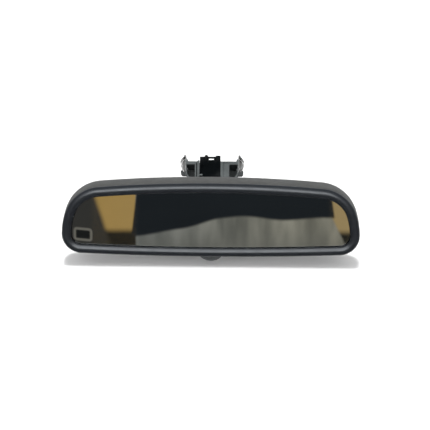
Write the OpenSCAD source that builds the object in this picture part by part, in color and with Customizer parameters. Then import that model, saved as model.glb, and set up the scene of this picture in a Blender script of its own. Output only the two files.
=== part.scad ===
// Interior rearview mirror for a car: prismatic day/night head on a ball joint,
// carried by a clip-in foot that seats on a windscreen bracket.
// Millimetres. Origin: centre of the foot's seat face. +Z up, the glass faces -Y,
// +Y points to the front of the car.

/* [Head outline] */
// Full width of the bezel
head_w = 247; // [235:1:260]
// Turn of the top edge, centre to corner, in degrees
top_turn = 4.8; // [4.2:0.1:5.6]
// Radius of the two upper corners
top_corner_r = 32; // [28:1:35]
// Radius of the two ends
side_r = 62; // [56:1:68]
// Radius of the two lower corners
low_corner_r = 16.5; // [15:0.5:18]

/* [Bezel and glass] */
// Width of the bezel bead, outer edge to lip
bead_w = 8; // [7.6:0.1:8.2]
// Depth of the bezel bead, crest to parting line
bead_d = 6.4; // [6.2:0.1:6.6]
// Angle of the glass wedge, in degrees
wedge_a = 3.7; // [3.4:0.1:3.9]
// Thickness of the glass at mid height
glass_t = 3.95; // [3.8:0.05:4.0]

/* [Housing] */
// Wall of the rear housing
wall = 2; // [1.8:0.1:2.2]
// Radius of the opening round the arm
rear_hole_r = 14.5; // [14.2:0.1:14.8]

/* [Ball joint] */
// Radius of the ball
ball_r = 8; // [7.8:0.1:8.1]
// Radial play of each ball seat
play = 0.05; // [0.04:0.01:0.08]
// Radius of the neck behind the ball
neck_r = 3.2; // [3.0:0.1:3.3]

/* [Day and night flip] */
// Flip of the head, day to night, in degrees
flip_a = 4.5; // [4:0.1:4.8]
// Crank radius of the lever
crank_r = 5.8; // [5.6:0.1:6.0]
// Radius of the finger tab's round edge
tab_r = 13.3; // [12.8:0.1:13.8]

/* [Foot] */
// Lean of the foot away from upright, to suit the windscreen, in degrees
rake = 30; // [28:1:32]
// Half width of the foot at its seat
foot_hw = 23; // [22.8:0.1:23.2]
// Height of the foot, seat to arm pad
foot_h = 16; // [15.5:0.5:16.5]

/* [Hidden] */
$fn = 48;

// Where the head stands from the seat: y and z of the point at the bezel crest, mid height.
head_y = -80.6;
head_z = -25.8;
// Head coordinates: x right, y back from the bezel crest, z up from mid height.
ball_y = 25;
back_y = 37;
hinge_y = 22;
hinge_z = 17;
lever_y = 17;
lever_z = -24.6;
half_swing = asin((hinge_z + 19) * sin(flip_a / 2) / crank_r);
nose_y = lever_y - crank_r * sin(half_swing);
nose_z = lever_z + crank_r * cos(half_swing);

// ---- the head's outline: tangent arcs, each given by the direction it faces ----
low_turn = 2.4;
a2 = 19.8;
a3 = 2;
x_side = top_corner_r * (cos(a2) - sin(top_turn)) + side_r * (1 - cos(a2));
top_r = (head_w / 2 - x_side) / sin(top_turn);
function arc(p, a, b, r, n) = [for (k = [1:n]) let (t = a + (b - a) * k / n)
    [p[0] + r * (cos(t) - cos(a)), p[1] - r * (sin(a) - sin(t)), t]];
function last(v) = v[len(v) - 1];
s1 = arc([0, 0], 90, 90 - top_turn, top_r, 6);
s2 = arc(last(s1), 90 - top_turn, a2, top_corner_r, 9);
s3 = arc(last(s2), a2, a3, side_r, 4);
s4 = arc(last(s3), a3, -90 + low_turn, low_corner_r, 8);
low_r = last(s4)[0] / sin(low_turn);
s5 = arc(last(s4), -90 + low_turn, -90, low_r, 5);
right_half = concat([[0, 0, 90]], s1, s2, s3, s4, s5);
head_h = -last(right_half)[1];
nr = len(right_half);
ring = concat([for (p = right_half) [p[0], p[1] + head_h / 2, p[2]]],
              [for (k = [nr - 2:-1:1]) let (p = right_half[k]) [-p[0], p[1] + head_h / 2, 180 - p[2]]]);
nring = len(ring);
// The outline moved inwards by d.
function inset(d) = [for (p = ring) [p[0] - d * cos(p[2]), p[1] - d * sin(p[2])]];

module slab(d, y0, y1) {
    translate([0, y1, 0]) rotate([90, 0, 0]) linear_extrude(y1 - y0) polygon(inset(d));
}
// A closed ring: profile points are [inset, y], swept round the outline.
module swept_ring(profile) {
    m = len(profile);
    pts = [for (p = ring) for (q = profile) [p[0] - q[0] * cos(p[2]), q[1], p[1] - q[0] * sin(p[2])]];
    faces = [for (i = [0:nring - 1]) for (j = [0:m - 1])
        let (a = i * m + j, b = i * m + (j + 1) % m, c = ((i + 1) % nring) * m + (j + 1) % m, d = ((i + 1) % nring) * m + j)
        each [[a, b, c], [a, c, d]]];
    polyhedron(points = pts, faces = faces, convexity = 6);
}
module in_head() { translate([0, head_y, head_z]) children(); }
module in_foot() { rotate([-rake, 0, 0]) children(); }
module at_ball() { translate([0, ball_y, 0]) children(); }
// A rod along x between x0 and x1.
module rod_x(r, x0, x1, y, z) { translate([x0, y, z]) rotate([0, 90, 0]) cylinder(h = x1 - x0, r = r); }
// A rod along y between y0 and y1.
module rod_y(r, y0, y1, x, z) { translate([x, y1, z]) rotate([90, 0, 0]) cylinder(h = y1 - y0, r = r); }
module box(x0, x1, y0, y1, z0, z1) { translate([x0, y0, z0]) cube([x1 - x0, y1 - y0, z1 - z0]); }

// ---- head ----
module bezel() {
    k = bead_w / 8;
    e = bead_d / 6.4;
    color([0.07, 0.075, 0.085]) in_head()
        swept_ring([[0, 6.4 * e], [0, 4.9 * e], [0.25, 3.5], [0.85, 2.1], [1.9 * k, 0.95], [3.1 * k, 0.25],
                    [4.4 * k, 0], [5.6 * k, 0.22], [6.6 * k, 0.85], [7.4 * k, 1.8], [7.9 * k, 2.8], [8.0 * k, 3.45],
                    [5.6, 3.45], [5.6, 10.4], [2.9, 10.4], [2.9, 6.4 * e]]);
}

shell = [[0.45, 6.8], [-0.25, 10], [-0.75, 15], [-0.82, 20], [-0.1, 25], [1.55, 29.4], [4.4, 32.7], [9.0, 35.3], [14.5, back_y]];
bore = [[0.55 + wall, 5.5], [-0.25 + wall, 10], [-0.75 + wall, 15], [-0.82 + wall, 20], [-0.1 + wall, 24.8], [1.3 + wall, 28.4], [4.4 + wall, 31.6], [8 + wall, 33.6], [11 + wall, back_y - wall]];
module ringstack(s) {
    hull() for (p = s) slab(p[0], p[1], p[1] + 0.01);
}
screw_x = 74;
screw_z = 11;
module rear_housing() {
    color([0.16, 0.16, 0.155]) in_head() {
        difference() {
            union() {
                difference() {
                    ringstack(shell);
                    ringstack(bore);
                }
                for (x = [-screw_x, screw_x], z = [-screw_z, screw_z]) rod_y(3.6, 11.83, back_y - 1, x, z);
            }
            rod_y(rear_hole_r, 20, 40, 0, 0);
            box(-11.2, 11.2, 8.6, 20.5, -40, -20);
            for (x = [-screw_x, screw_x], z = [-screw_z, screw_z]) rod_y(1.55, 11, 27, x, z);
        }
    }
}

// Everything behind the plane that lies g behind the glass's front face at mid height, leaning with the wedge.
module behind(g) {
    translate([-150, 3.5 + g, 0]) rotate([-wedge_a, 0, 0]) translate([0, 0, -60]) cube([300, 60, 120]);
}
module prism_glass() {
    color([0.6, 0.62, 0.6, 0.6]) in_head() difference() {
        slab(5.9, 3.5, 12);
        behind(glass_t);
    }
}
module reflective_coating() {
    color([0.8, 0.8, 0.8]) in_head() difference() {
        intersection() { slab(6.3, 3.6, 14); behind(glass_t); }
        behind(glass_t + 0.25);
    }
}
module foam_pad() {
    color([0.05, 0.05, 0.05]) in_head() difference() {
        intersection() { slab(8.5, 3.6, 14); behind(glass_t + 0.25); }
        behind(glass_t + 1.05);
    }
}
module ear(x0, x1, y, z, r, y0, z0, z1) {
    rod_x(r, x0, x1, y, z);
    box(x0, x1, y0, y, z - r, z + r);
    box(x0, x1, y0, y0 + 2.5, z0, z1);
}
module inner_frame() {
    color([0.1, 0.1, 0.1]) in_head() difference() {
        union() {
            intersection() { slab(5.65, 5, 11.8); behind(glass_t + 1.05); }
            for (s = [-1, 1]) {
                ear(s > 0 ? 20.2 : -23.2, s > 0 ? 23.2 : -20.2, hinge_y, hinge_z, 4, 11.5, 10, 22);
                ear(s > 0 ? 5.7 : -8.2, s > 0 ? 8.2 : -5.7, lever_y, lever_z, 2.9, 11.5, -27, -20);
            }
            // cross bar behind the lever, for the detent spring
            for (s = [-1, 1]) box(s > 0 ? 5.7 : -8.2, s > 0 ? 8.2 : -5.7, lever_y, 22.6, lever_z - 1.6, lever_z + 2.9);
            box(-8.2, 8.2, 20.4, 22.6, lever_z - 1.6, lever_z + 2.9);
            // stiffening ribs
            for (x = [-98, -50, 50, 98]) box(x - 0.75, x + 0.75, 11.5, 15, -17, 17);
            for (s = [-1, 1]) box(s > 0 ? 30 : -100, s > 0 ? 100 : -30, 11.5, 14, -0.75, 0.75);
        }
        rod_x(1.5 + play, -30, 30, hinge_y, hinge_z);
        rod_x(1.25 + play, -12, 12, lever_y, lever_z);
        for (x = [-screw_x, screw_x], z = [-screw_z, screw_z]) {
            rod_y(1.7, 4, 16, x, z);
            rod_y(3.3, 4, 10.3, x, z);
        }
    }
}
module frame_screws() {
    color([0.7, 0.7, 0.72]) in_head() for (x = [-screw_x, screw_x], z = [-screw_z, screw_z]) difference() {
        union() {
            rod_y(1.5, 10, 24, x, z);
            rod_y(2.9, 9.4, 10.28, x, z);
        }
        box(x - 1.7, x + 1.7, 9, 9.9, z - 0.35, z + 0.35);
        box(x - 0.35, x + 0.35, 9, 9.9, z - 1.7, z + 1.7);
    }
}
module flip_hinge_pin() {
    color([0.75, 0.75, 0.77]) in_head() rod_x(1.5, -23.2, 23.2, hinge_y, hinge_z);
}
module lever_pin() {
    color([0.75, 0.75, 0.77]) in_head() rod_x(1.25, -8.2, 8.2, lever_y, lever_z);
}
module detent_spring() {
    color([0.7, 0.7, 0.72]) in_head() {
        // flat leaf with a hooked tail round the bar
        translate([-3, 0, 0]) rotate([90, 0, 90]) linear_extrude(6)
            polygon([[19.93, lever_z + 2.8], [20.38, lever_z + 2.8], [20.38, lever_z - 1.95], [21.4, lever_z - 2.5], [21.2, lever_z - 2.9], [19.93, lever_z - 2.2]]);
    }
}
module day_night_lever() {
    t = 2.6;
    // the round edge's centre, and the direction in which it meets the straight sides
    c = tab_r - 10.8;
    side = 10.3;
    a0 = acos(side / tab_r);
    color([0.2, 0.205, 0.205]) in_head() difference() {
        union() {
            rod_x(2.8, -5.4, 5.4, lever_y, lever_z);
            rod_x(1.5, -4.4, 4.4, nose_y, nose_z);
            // crank, leaning with the lever
            translate([0, lever_y, lever_z]) rotate([half_swing, 0, 0]) box(-4.2, 4.2, -1.1, 1.1, 0.3, crank_r + 0.2);
            // neck through the housing and the finger tab
            box(-5.2, 5.2, lever_y - 1.7, lever_y + 0.7, -30.2, lever_z);
            translate([0, lever_y - 0.4 + t / 2, -28.3]) rotate([81, 0, 0]) linear_extrude(t)
                polygon(concat([[-5.0, 0.7], [5.0, 0.7], [5.1, -1.7], [8.2, -2.4], [side, -3.8]],
                               [for (k = [0:16]) let (a = -a0 - k * (180 - 2 * a0) / 16) [tab_r * cos(a), c + tab_r * sin(a)]],
                               [[-side, -3.8], [-8.2, -2.4], [-5.1, -1.7]]));
        }
        rod_x(1.25 + play, -12, 12, lever_y, lever_z);
    }
}

// ---- ball joint ----
module ball_stud() {
    color([0.72, 0.72, 0.74]) in_head() at_ball() {
        difference() {
            sphere(r = ball_r);
            rod_y(2.2, -9, -7.2, 0, 0);
        }
        rod_y(neck_r, 0, 25, 0, 0);
        rod_y(neck_r + 1.2, 12.5, 13.9, 0, 0);
    }
}
cup_r = ball_r + 1.95;
module ball_cup_rear() {
    color([0.9, 0.9, 0.86]) in_head() at_ball() difference() {
        sphere(r = cup_r);
        sphere(r = ball_r + play);
        box(-12, 12, -12, 0.3, -12, 12);
        rotate([-90, 0, 0]) cylinder(h = 14, r1 = 0, r2 = 14 * tan(50));
    }
}
module ball_cup_front() {
    color([0.9, 0.9, 0.86]) in_head() at_ball() difference() {
        sphere(r = cup_r);
        sphere(r = ball_r + play);
        box(-12, 12, -0.3, 12, -12, 12);
        rod_y(1.8, -12, 0, 0, 0);
    }
}
module toggle_bracket() {
    color([0.13, 0.13, 0.13]) in_head() difference() {
        union() {
            rod_y(13, ball_y - 12.4, ball_y - 0.15, 0, 0);
            box(-20, 20, ball_y - 4.5, ball_y - 0.15, -5, 5);
            // hinge arms
            for (s = [-1, 1]) {
                box(s > 0 ? 12 : -19.7, s > 0 ? 19.7 : -12, hinge_y - 3.2, ball_y - 0.15, 0, hinge_z);
                rod_x(3.2, s > 0 ? 12 : -19.7, s > 0 ? 19.7 : -12, hinge_y, hinge_z);
            }
            box(-13, 13, hinge_y - 3.2, ball_y - 0.15, 6, 12.5);
            // yoke round the lever's nose
            box(-4.2, 4.2, ball_y - 12.4, nose_y - 1.65, -20.4, -8);
            box(-4.2, 4.2, nose_y + 1.65, nose_y + 3.4, -20.4, -8);
            box(-4.2, 4.2, ball_y - 12.4, nose_y + 3.4, -16.9, -8);
        }
        at_ball() sphere(r = ball_r + 2);
        at_ball() rod_y(5.5, -11.1, -6, 0, 0);
        rod_x(1.5 + play, -30, 30, hinge_y, hinge_z);
        for (s = [-1, 1]) rod_y(1.3, ball_y - 4.4, ball_y + 1, s * 16.4, 0);
    }
}
module socket_clamp() {
    color([0.13, 0.13, 0.13]) in_head() difference() {
        union() {
            rod_y(12.9, ball_y + 0.15, ball_y + 7.4, 0, 0);
            box(-20, 20, ball_y + 0.15, ball_y + 3, -5, 5);
        }
        at_ball() sphere(r = ball_r + 2);
        at_ball() rotate([-90, 0, 0]) cylinder(h = 14, r1 = 0, r2 = 14 * tan(50));
        for (s = [-1, 1]) rod_y(1.6, ball_y, ball_y + 4, s * 16.4, 0);
    }
}
module clamp_screws() {
    color([0.7, 0.7, 0.72]) in_head() for (s = [-1, 1]) difference() {
        union() {
            rod_y(1.25, ball_y - 4, ball_y + 3.2, s * 16.4, 0);
            rod_y(2.7, ball_y + 3.02, ball_y + 5, s * 16.4, 0);
        }
        box(s * 16.4 - 1.6, s * 16.4 + 1.6, ball_y + 4.2, ball_y + 6, -0.35, 0.35);
        box(s * 16.4 - 0.35, s * 16.4 + 0.35, ball_y + 4.2, ball_y + 6, -1.6, 1.6);
    }
}
module pressure_spring() {
    color([0.7, 0.7, 0.72]) in_head() at_ball() difference() {
        rod_y(5.3, -11.05, -10.1, 0, 0);
        rod_y(2.4, -12, -9, 0, 0);
    }
}

// ---- foot: x right, y along the seat away from the driver, z out of the seat ----
front = -18;
rear = 6;
chan_l = -11;
chan_r = 7.4;
module foot_bracket() {
    color([0.2, 0.205, 0.21]) in_foot() {
        // ledge that keeps the connector in its bay
        box(-11.6, -8.3, front, -17.38, -12.7, -11.4);
        difference() {
            union() {
                translate([0, rear, 0]) rotate([90, 0, 0]) linear_extrude(rear - front)
                    polygon([[-foot_hw, 0], [foot_hw, 0], [foot_hw, -3], [22.4, -11], [19.2, -foot_h], [-19.2, -foot_h], [-22.4, -11], [-foot_hw, -3]]);
                // posts that back the spring clips, and hooks under them
                for (s = [0, 1]) mirror([s, 0, 0]) {
                    translate([0, -4, 0]) rotate([90, 0, 0]) linear_extrude(10)
                        polygon([[23, -1], [23, 2.7], [22.6, 3.3], [21.9, 3.3], [21.1, 1.9], [20.6, 0], [20.6, -1]]);
                    translate([0, -9, 0]) rotate([90, 0, 0]) linear_extrude(6)
                        polygon([[21.5, -8.6], [24.0, -9.0], [24.9, -8.5], [25.7, -7.6], [26.5, -7.4], [27.1, -7.9], [27.2, -9.2], [26.9, -10.4], [26.1, -11.2], [24.6, -11.4], [21.5, -11.4]]);
                }
                // locating rib beside the connector
                translate([0, -15.5, 0]) rotate([90, 0, 0]) linear_extrude(2.5)
                    polygon([[-12.9, -1], [-12.9, 0.2], [-11.9, 1.1], [-11, 0.2], [-11, -1]]);
                // rim round the lamp lens
                rod_y(4.6, rear - 1, rear + 0.5, 0, -6.4);
            }
            // cored pockets either side
            for (s = [0, 1]) mirror([s, 0, 0]) translate([0, 2.2, 0]) rotate([90, 0, 0]) linear_extrude(2.2 - front + 1)
                polygon([[14.9, -foot_h - 1], [14.9, -2.8], [foot_hw - 0.8, -2.8], [21.6, -11], [17.8, -foot_h - 1]]);
            // sunk panels in the rear wall, a rib between each pair
            for (s = [0, 1]) mirror([s, 0, 0]) {
                box(6.6, 12.6, rear - 1.2, rear + 1, -12.6, -2.6);
                translate([0, rear + 1, 0]) rotate([90, 0, 0]) linear_extrude(2.2)
                    polygon([[13.8, -12.6], [13.8, -2.6], [foot_hw - 1.8, -2.6], [20.4, -11], [19.4, -12.6]]);
            }
            // connector bay, open to the front and through the seat
            box(chan_l, chan_r, front - 1, -6.5, -14.4, 1);
            // board bay behind it, and the window for the lamp lens
            box(-10, 10, -6.6, 3.2, -14.4, -3);
            rod_y(2.55, 3, 7, 0, -6.4);
            for (s = [-1, 1], y = [-11, -7]) rod_x(0.82, s > 0 ? 20.9 : -24, s > 0 ? 24 : -20.9, y, -5.2);
            // parting slots in the ribs
            box(-13.8, -12.9, front - 1, front + 6, -foot_h - 1, -1.2);
            box(9.6, 10.1, front - 1, front + 1.2, -foot_h - 1, -0.8);
            box(10.1, 15.2, front - 1, front + 0.6, -foot_h - 1, -0.8);
            // ledge clearance under the bay
            box(chan_l + 3, chan_r - 1.2, front - 1, front + 3, -foot_h - 1, -12.4);
            // pilot holes for the arm screws
            for (s = [-1, 1]) translate([s * 12.6, -1, -foot_h - 1]) cylinder(h = 10, r = 1.65);
        }
    }
}
module clip_side(s) { mirror([s < 0 ? 1 : 0, 0, 0]) children(); }
eye_x = 23.75;
eye_z = 6.1;
module clip_plate(s) {
    color([0.55, 0.55, 0.56]) in_foot() clip_side(s) difference() {
        union() {
            box(23.05, 23.65, -13, -4.3, -7.4, eye_z - 0.6);
            rod_y(1.0, -13, -4.3, eye_x, eye_z);
            // web across the back of the leaf
            translate([0, -4.3, 0]) rotate([90, 0, 0]) linear_extrude(0.6)
                polygon([[23.05, -6.6], [24.9, -6.0], [25.6, -3.8], [26.5, -1.2], [26.9, 1.2], [26.4, 2.9], [25.3, 4.4], [24.2, 5.6], [23.05, 5.5]]);
        }
        rod_y(0.55, -14, -3, eye_x, eye_z);
        translate([eye_x, 0, eye_z]) rotate([0, 58, 0]) box(0, 3, -14, -4.95, -0.62, 0.62);
        for (y = [-11, -7]) rod_x(0.85, 22, 25, y, -5.2);
    }
}
module left_clip_plate() { clip_plate(-1); }
module right_clip_plate() { clip_plate(1); }
module clip_rivets() {
    color([0.6, 0.6, 0.62]) in_foot() for (s = [0, 1]) mirror([s, 0, 0]) for (y = [-11, -7]) {
        rod_x(0.8, 21.1, 23.75, y, -5.2);
        rod_x(1.3, 23.68, 24.1, y, -5.2);
    }
}
// Bowed strip: centre line points in x and z, from the eye down to the free end.
leaf = [[eye_x, eye_z], [24.7, 5.4], [25.75, 4.4], [26.8, 3.0], [27.45, 1.3], [27.3, -0.8], [26.6, -2.9], [25.8, -4.8], [25.45, -6.0]];
leaf_t = 0.55;
module leaf_strip(y0, y1) {
    translate([0, y1, 0]) rotate([90, 0, 0]) linear_extrude(y1 - y0)
        polygon(concat([for (i = [0:len(leaf) - 1]) let (a = leaf[max(i - 1, 0)], b = leaf[min(i + 1, len(leaf) - 1)], d = [b[0] - a[0], b[1] - a[1]], n = norm(d))
                            [leaf[i][0] - d[1] / n * leaf_t / 2, leaf[i][1] + d[0] / n * leaf_t / 2]],
                       [for (i = [len(leaf) - 1:-1:0]) let (a = leaf[max(i - 1, 0)], b = leaf[min(i + 1, len(leaf) - 1)], d = [b[0] - a[0], b[1] - a[1]], n = norm(d))
                            [leaf[i][0] + d[1] / n * leaf_t / 2, leaf[i][1] - d[0] / n * leaf_t / 2]]));
}
module clip_leaf(s) {
    color([0.62, 0.62, 0.63]) in_foot() clip_side(s) {
        rod_y(0.5, -12.9, -5.1, eye_x, eye_z);
        leaf_strip(-12.7, -5.3);
    }
}
module left_clip_leaf() { clip_leaf(-1); }
module right_clip_leaf() { clip_leaf(1); }

// Raised U round a keyway under a tower: its arc's centre at x and z.
module keyway(x, z) {
    difference() {
        union() {
            rod_y(2.15, -17.62, -17, x, z);
            box(x - 2.15, x + 2.15, -17.62, -17, z, 0.8);
        }
        rod_y(1.72, -18, -16, x, z);
        box(x - 1.72, x + 1.72, -18, -16, z, 2);
    }
}
module connector_housing() {
    color([0.03, 0.03, 0.03]) in_foot() difference() {
        union() {
            box(-9.7, 7.37, -17.2, -6.53, -14.38, 1.3);
            box(-10.7, -7.2, -17.2, -13.4, 1, 4.4);
            keyway(-5.5, -1.6);
            keyway(5.0, -2.3);
            box(-10.8, -9.5, -16.8, -8, -12.2, 0.9);
            translate([-5.1, -16.2, 0.9]) cylinder(h = 4.0, r = 1.6);
            translate([-5.1, -16.2, 4.6]) sphere(r = 1.6);
            box(3.2, 7.2, -17.4, -13.6, 1, 5.3);
            box(-7.4, 3.6, -17.2, -15.6, 1, 4.4);
        }
        // socket for the plug
        box(-7.9, 5.4, -15.6, -8.5, -10.8, 2);
        box(-7.2, 3.2, -15.6, -12, 1.3, 8);
        // latch window
        box(-2.9, 1.6, -18, -15, 1.5, 3.0);
        // side relief on the left flank
        box(-10, -7.6, -18, -16.2, -13, -3.6);
        for (x = [-5.9, -3.6, -1.3, 1.0, 3.3]) box(x - 0.35, x + 0.35, -9, -6, -9.95, -9.25);
    }
}
module connector_terminals() {
    color([0.8, 0.65, 0.3]) in_foot() for (x = [-5.9, -3.6, -1.3, 1.0, 3.3]) {
        box(x - 0.32, x + 0.32, -12.3, -11.66, -10.75, -5.9);
        box(x - 0.32, x + 0.32, -12.3, -4.0, -9.92, -9.28);
    }
}
module led_board() {
    color([0.05, 0.25, 0.12]) in_foot() difference() {
        box(-9.97, 9.97, -6.2, -5.0, -14.38, -3.5);
        for (x = [-5.9, -3.6, -1.3, 1.0, 3.3]) box(x - 0.42, x + 0.42, -7, -4, -10.02, -9.18);
    }
}
module board_components() {
    color([0.12, 0.12, 0.13]) in_foot() {
        box(-8.4, -5.2, -4.98, -4.1, -7.2, -4.6);
        box(4.6, 6.2, -4.98, -4.3, -6.2, -4.6);
        box(6.8, 8.4, -4.98, -4.3, -6.2, -4.6);
        box(5.6, 8.2, -4.98, -3.9, -12.6, -10.2);
    }
}
module status_led() {
    color([0.7, 0.1, 0.08]) in_foot() {
        rod_y(1.5, -4.98, -1.2, 0, -6.4);
        translate([0, -1.2, -6.4]) sphere(r = 1.5);
        rod_y(1.8, -4.98, -4.3, 0, -6.4);
    }
}
module led_lens() {
    color([0.6, 0.05, 0.04, 0.6]) in_foot() {
        rod_y(2.5, 1.2, 6.3, 0, -6.4);
        rod_y(3.2, 1.0, 3.18, 0, -6.4);
        intersection() {
            translate([0, 2.9, -6.4]) sphere(r = 4.2);
            rod_y(2.5, 6, 8, 0, -6.4);
        }
    }
}
// Arm from the foot's underside to the ball stud.
module stem_arm() {
    color([0.12, 0.12, 0.125]) difference() {
        union() {
            in_foot() box(-16.5, 16.5, -9, 5.5, -foot_h - 4, -foot_h - 0.02);
            hull() {
                in_foot() box(-8.6, 8.6, -8, 4.5, -foot_h - 4.5, -foot_h - 3.5);
                in_head() translate([0, 56, 0.5]) sphere(r = 8.5, $fn = 30);
            }
            hull() {
                in_head() translate([0, 56, 0.5]) sphere(r = 8.5, $fn = 30);
                in_head() rod_y(6.2, 41, 42, 0, 0, $fn = 30);
            }
        }
        in_head() rod_y(neck_r + 0.05, 38, ball_y + 25.1, 0, 0);
        in_foot() for (s = [-1, 1]) translate([s * 12.6, -1, -foot_h - 6]) cylinder(h = 8, r = 2.1);
    }
}
module stem_screws() {
    color([0.7, 0.7, 0.72]) in_foot() for (s = [-1, 1]) translate([s * 12.6, -1, -foot_h]) difference() {
        union() {
            translate([0, 0, -4.1]) cylinder(h = 12, r = 1.6);
            translate([0, 0, -6.6]) cylinder(h = 2.5, r = 3.1);
        }
        translate([0, 0, -7]) cylinder(h = 1.8, r = 1.7, $fn = 6);
    }
}

foot_bracket();
stem_arm();
ball_stud();
stem_screws();
connector_housing();
connector_terminals();
led_board();
board_components();
status_led();
led_lens();
left_clip_plate();
right_clip_plate();
clip_rivets();
left_clip_leaf();
right_clip_leaf();
ball_cup_rear();
ball_cup_front();
toggle_bracket();
socket_clamp();
clamp_screws();
pressure_spring();
bezel();
rear_housing();
inner_frame();
prism_glass();
reflective_coating();
foam_pad();
frame_screws();
flip_hinge_pin();
lever_pin();
detent_spring();
day_night_lever();
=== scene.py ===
import math
import bmesh
import bpy
from mathutils import Matrix, Vector


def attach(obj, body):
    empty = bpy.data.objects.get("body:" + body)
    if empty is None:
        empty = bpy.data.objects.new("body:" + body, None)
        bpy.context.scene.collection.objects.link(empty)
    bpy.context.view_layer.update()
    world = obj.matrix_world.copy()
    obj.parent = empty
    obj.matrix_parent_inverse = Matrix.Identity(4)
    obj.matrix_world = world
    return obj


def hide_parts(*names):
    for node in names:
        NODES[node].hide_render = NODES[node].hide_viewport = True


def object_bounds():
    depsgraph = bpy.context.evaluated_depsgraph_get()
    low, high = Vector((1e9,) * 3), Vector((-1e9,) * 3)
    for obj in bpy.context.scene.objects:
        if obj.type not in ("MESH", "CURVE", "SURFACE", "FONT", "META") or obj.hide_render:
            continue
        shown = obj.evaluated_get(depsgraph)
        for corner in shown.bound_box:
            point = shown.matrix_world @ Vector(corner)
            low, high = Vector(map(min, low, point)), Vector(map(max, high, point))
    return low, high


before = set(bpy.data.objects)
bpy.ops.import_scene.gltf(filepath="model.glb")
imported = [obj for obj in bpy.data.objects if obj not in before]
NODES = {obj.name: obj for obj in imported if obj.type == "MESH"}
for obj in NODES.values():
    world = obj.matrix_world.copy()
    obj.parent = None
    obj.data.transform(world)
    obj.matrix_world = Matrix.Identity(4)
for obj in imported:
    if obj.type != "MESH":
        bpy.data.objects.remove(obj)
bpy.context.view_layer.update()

sin, cos, pi = math.sin, math.cos, math.pi
HEAD = (0.0, -80.6, -25.8)      # crest of the bezel, mid height, in mm
BALL_Y = 25.0
RAKE = math.radians(30)
FLOOR_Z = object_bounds()[0][2]


# ------------------------------------------------------------------ camera
def look_from(target, distance, elevation, yaw, roll, width_at_target):
    e, a = math.radians(elevation), math.radians(yaw)
    back = Vector((sin(a) * cos(e), -cos(a) * cos(e), sin(e)))
    pos = Vector(target) + back * distance
    right = Vector((cos(a), sin(a), 0))
    up = back.cross(right)
    m = Matrix((right, up, back)).transposed().to_4x4()
    m = m @ Matrix.Rotation(math.radians(roll), 4, "Z")
    m.translation = pos
    data = bpy.data.cameras.new("camera")
    data.sensor_width = 36.0
    data.lens = 36.0 / (width_at_target / distance)
    data.clip_start = 0.01
    data.clip_end = 50
    cam = bpy.data.objects.new("camera", data)
    bpy.context.scene.collection.objects.link(cam)
    cam.matrix_world = m
    return cam


# the head's centre sits a little left of and below the middle of the frame
cam = look_from((0.0038, -0.0806, -0.0198), 0.90, 17.0, 1.0, 0.22, 0.352)
bpy.context.scene.camera = cam


# ------------------------------------------------------------------ materials
class Mat:
    """A small helper that wires a procedural material."""

    def __init__(self, name):
        self.m = bpy.data.materials.new(name)
        self.m.use_nodes = True
        self.t = self.m.node_tree
        self.t.nodes.clear()
        self.out = self.t.nodes.new("ShaderNodeOutputMaterial")
        self.b = self.t.nodes.new("ShaderNodeBsdfPrincipled")
        self.t.links.new(self.b.outputs[0], self.out.inputs[0])
        self.co = self.t.nodes.new("ShaderNodeTexCoord").outputs["Object"]

    def set(self, **kw):
        for k, v in kw.items():
            self.b.inputs[k.replace("_", " ")].default_value = v
        return self

    def noise(self, scale, detail=3.0, rough=0.5, stretch=None):
        n = self.t.nodes.new("ShaderNodeTexNoise")
        n.inputs["Scale"].default_value = scale
        n.inputs["Detail"].default_value = detail
        n.inputs["Roughness"].default_value = rough
        src = self.co
        if stretch:
            mp = self.t.nodes.new("ShaderNodeMapping")
            mp.inputs["Scale"].default_value = stretch
            self.t.links.new(src, mp.inputs[0])
            src = mp.outputs[0]
        self.t.links.new(src, n.inputs["Vector"])
        return n.outputs["Fac"]

    def voronoi(self, scale, feature="F1"):
        n = self.t.nodes.new("ShaderNodeTexVoronoi")
        n.feature = feature
        n.inputs["Scale"].default_value = scale
        self.t.links.new(self.co, n.inputs["Vector"])
        return n.outputs["Distance"]

    def ramp(self, fac, *stops):
        r = self.t.nodes.new("ShaderNodeValToRGB")
        e = r.color_ramp.elements
        while len(e) < len(stops):
            e.new(0.5)
        for i, (p, c) in enumerate(stops):
            e[i].position = p
            e[i].color = (*c, 1) if isinstance(c, tuple) else (c, c, c, 1)
        self.t.links.new(fac, r.inputs[0])
        return r.outputs[0]

    def mix(self, fac, a, b):
        n = self.t.nodes.new("ShaderNodeMix")
        n.data_type = "RGBA"
        for sock, v in ((n.inputs[0], fac), (n.inputs[6], a), (n.inputs[7], b)):
            if hasattr(v, "links") or isinstance(v, bpy.types.NodeSocket):
                self.t.links.new(v, sock)
            elif isinstance(v, tuple):
                sock.default_value = (*v, 1)
            else:
                sock.default_value = v
        return n.outputs[2]

    def math(self, op, a, b=0.0, clamp=False):
        n = self.t.nodes.new("ShaderNodeMath")
        n.operation = op
        n.use_clamp = clamp
        for sock, v in ((n.inputs[0], a), (n.inputs[1], b)):
            if isinstance(v, bpy.types.NodeSocket):
                self.t.links.new(v, sock)
            else:
                sock.default_value = v
        return n.outputs[0]

    def edge(self, lo=0.52, hi=0.62):
        g = self.t.nodes.new("ShaderNodeNewGeometry")
        return self.ramp(g.outputs["Pointiness"], (lo, 0.0), (hi, 1.0))

    def bump(self, height, strength, distance):
        n = self.t.nodes.new("ShaderNodeBump")
        n.inputs["Strength"].default_value = strength
        n.inputs["Distance"].default_value = distance
        self.t.links.new(height, n.inputs["Height"])
        prev = self.b.inputs["Normal"]
        if prev.is_linked:
            self.t.links.new(prev.links[0].from_socket, n.inputs["Normal"])
        self.t.links.new(n.outputs[0], self.b.inputs["Normal"])
        return self

    def col(self, s):
        self.t.links.new(s, self.b.inputs["Base Color"])
        return self

    def rough(self, s):
        self.t.links.new(s, self.b.inputs["Roughness"])
        return self


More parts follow.
